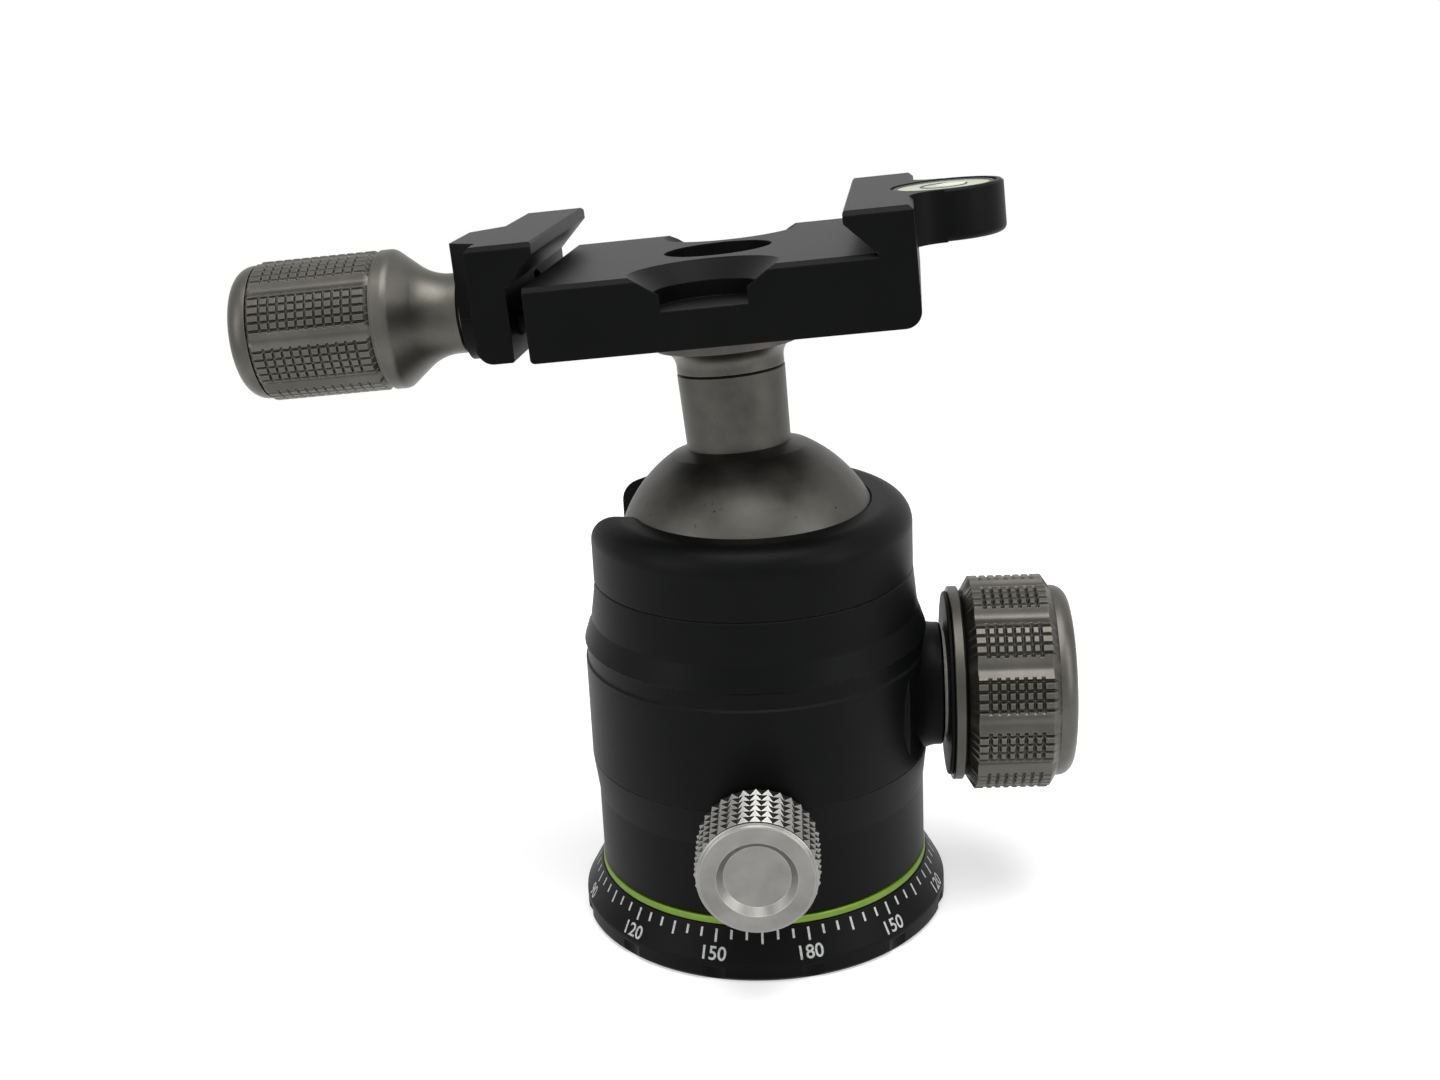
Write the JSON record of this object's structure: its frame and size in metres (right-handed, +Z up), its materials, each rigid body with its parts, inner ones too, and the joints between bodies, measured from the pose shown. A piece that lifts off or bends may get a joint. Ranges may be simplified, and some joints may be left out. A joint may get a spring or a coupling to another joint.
{
  "type": "tripod ball head",
  "caption": "Ball head for a camera tripod: panning base with degree scale, round housing with drop notch, knurled lock knobs and a dovetail quick-release clamp with bubble level.",
  "frame": {"origin": "centre of the tripod socket in the flat underside of the base", "axes": "+Z up along the panning axis, the panning lock knob points to -Y, the main lock knob to +X and the drop notch to about -X"},
  "size_m": [0.0953, 0.0519, 0.087],
  "materials": {
    "black_anodised": "satin",
    "green_anodised": "satin",
    "titanium_grey": "satin",
    "blasted_grey": "matte",
    "bright_silver": "satin",
    "plain_aluminium": "satin",
    "steel": "satin",
    "dark_steel": "satin",
    "bronze": "satin",
    "bearing_plastic": "matte",
    "vial_body": "gloss",
    "vial_liquid": "gloss",
    "vial_lens": "gloss"
  },
  "bodies": {
    "base": {"base_flange": "black_anodised", "accent_ring": "green_anodised", "pan_drum": "plain_aluminium", "drum_screws": "steel"},
    "housing": {"housing_body": "black_anodised", "upper_collar": "black_anodised", "upper_seat_ring": "bearing_plastic", "spindle_bushing": "bronze", "thrust_washer": "bearing_plastic", "pan_washer": "bearing_plastic"},
    "liner": {"seat_liner": "bearing_plastic"},
    "ball": {"ball_stem": "blasted_grey"},
    "clamp": {"clamp_base": "black_anodised", "clamp_neck": "titanium_grey", "clamp_bolt": "steel", "vial_cup": "vial_body", "vial_liquid": "vial_liquid", "vial_lens": "vial_lens"},
    "jaw": {"moving_jaw": "black_anodised", "guide_pins": "dark_steel", "clamp_washer": "bearing_plastic"},
    "clamp_knob": {"clamp_screw": "dark_steel", "jaw_clip": "steel", "clamp_knob_neck": "titanium_grey", "clamp_knob_grip": "titanium_grey", "clamp_knob_cap": "titanium_grey"},
    "cup": {"lower_cup": "plain_aluminium", "cup_spring": "steel"},
    "wedge": {"wedge_plunger": "bronze"},
    "main_knob": {"main_spindle": "steel", "main_knob_disc": "black_anodised", "main_knob_trim": "titanium_grey", "main_knob_core": "black_anodised", "main_knob_grip": "titanium_grey", "main_knob_cap": "titanium_grey"},
    "pan_shoe": {"pan_brake_shoe": "bronze"},
    "pan_knob": {"pan_lock_screw": "steel", "pan_lock_knob": "bright_silver"}
  },
  "joints": [
    {"name": "pan", "type": "hinge", "parent": "base", "child": "housing", "pos_m": [0, 0, 0], "axis": [0, 0, 1], "continuous": true},
    {"name": "fore_tilt", "type": "hinge", "parent": "housing", "child": "liner", "pos_m": [0, 0, 0.04315], "axis": [-0.9848, 0.1736, 0], "range_deg": [-29, 32]},
    {"name": "side_tilt", "type": "hinge", "parent": "liner", "child": "ball", "pos_m": [0, 0, 0.04315], "axis": [-0.1734, -0.9832, 0.0569], "range_deg": [-31, 85.46]},
    {"name": "head_spin", "type": "hinge", "parent": "ball", "child": "clamp", "pos_m": [0, 0, 0.04315], "axis": [-0.068, 0.0696, 0.9953], "continuous": true},
    {"name": "jaw_slide", "type": "slide", "parent": "clamp", "child": "jaw", "axis": [-0.996, 0.0527, -0.0718], "range_m": [-0.0018, 0.005]},
    {"name": "clamp_knob_turn", "type": "hinge", "parent": "jaw", "child": "clamp_knob", "pos_m": [-0.0022, 0.00225, 0.0753], "axis": [-0.996, 0.0527, -0.0718], "range_deg": [-519, 1441]},
    {"name": "wedge_slide", "type": "slide", "parent": "housing", "child": "wedge", "axis": [1, 0, 0], "range_m": [0, 0.0008]},
    {"name": "main_knob_turn", "type": "hinge", "parent": "wedge", "child": "main_knob", "pos_m": [0, 0, 0.027], "axis": [1, 0, 0], "range_deg": [0, 231]},
    {"name": "cup_lift", "type": "slide", "parent": "housing", "child": "cup", "axis": [0, 0, 1], "range_m": [-0.0003, 0]},
    {"name": "shoe_slide", "type": "slide", "parent": "housing", "child": "pan_shoe", "axis": [0, -1, 0], "range_m": [0, 0.0005]},
    {"name": "pan_knob_turn", "type": "hinge", "parent": "pan_shoe", "child": "pan_knob", "pos_m": [0, 0, 0.0172], "axis": [0, -1, 0], "range_deg": [0, 226]}
  ],
  "couplings": [
    {"joint": "clamp_knob_turn", "follows": "jaw_slide", "rad_per_m": 5026.5},
    {"joint": "main_knob_turn", "follows": "wedge_slide", "rad_per_m": 5026.5},
    {"joint": "cup_lift", "follows": "wedge_slide", "ratio": -0.36397},
    {"joint": "pan_knob_turn", "follows": "shoe_slide", "rad_per_m": 7854}
  ]
}
